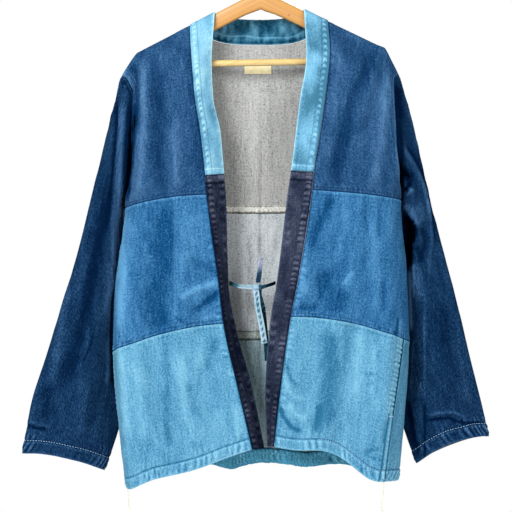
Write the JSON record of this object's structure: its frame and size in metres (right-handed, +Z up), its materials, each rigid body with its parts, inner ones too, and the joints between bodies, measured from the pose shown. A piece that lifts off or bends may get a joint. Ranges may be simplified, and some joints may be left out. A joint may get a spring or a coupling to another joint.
{
  "type": "denim noragi jacket on a wooden coat hanger",
  "caption": "Open-front denim work jacket in dark, mid and pale blue blocks, with a folded neck band, ties and wide straight sleeves, hanging on a wooden coat hanger.",
  "frame": {"origin": "inner top of the hanger's hook, where a rail or a nail holds it", "axes": "+Z up, +Y towards the jacket's back (its front faces -Y), +X towards the wearer's left"},
  "size_m": [0.8261, 0.14, 0.9923],
  "materials": {
    "dark_denim": "faded dark indigo denim, matt",
    "sleeve_denim": "dark indigo denim, little faded, matt",
    "mid_denim": "mid blue denim, mottled, matt",
    "pale_denim": "pale washed denim, matt",
    "band_denim": "light blue denim, folded double, matt",
    "neck_denim": "teal blue denim, folded double, matt",
    "black_denim": "blue-black denim, folded double, matt",
    "tie_denim": "grey-blue denim tape, matt",
    "label_cotton": "cream cotton, plain",
    "cream_thread": "cream sewing thread",
    "varnished_wood": "clear varnish, satin",
    "hook_steel": "bright plated wire"
  },
  "bodies": {
    "root": {"front_upper_right": "dark_denim", "front_middle_right": "mid_denim", "front_lower_right": "pale_denim", "band_upper_right": "band_denim", "band_lower_right": "black_denim", "sleeve_right": "sleeve_denim", "tie_strap_right": "tie_denim", "thread_right": "cream_thread", "front_upper_left": "dark_denim", "front_middle_left": "mid_denim", "front_lower_left": "pale_denim", "band_upper_left": "band_denim", "band_lower_left": "black_denim", "sleeve_left": "sleeve_denim", "tie_strap_left": "tie_denim", "thread_left": "cream_thread", "back_upper": "dark_denim", "back_middle": "mid_denim", "back_lower": "pale_denim", "band_neck": "neck_denim", "tie_end_up": "tie_denim", "tie_tail_front": "tie_denim", "tie_tail_back": "tie_denim", "tie_knot": "tie_denim", "label": "label_cotton", "hanger_arms": "varnished_wood", "hanger_bar": "varnished_wood", "hanger_hook": "hook_steel"}
  },
  "joints": []
}
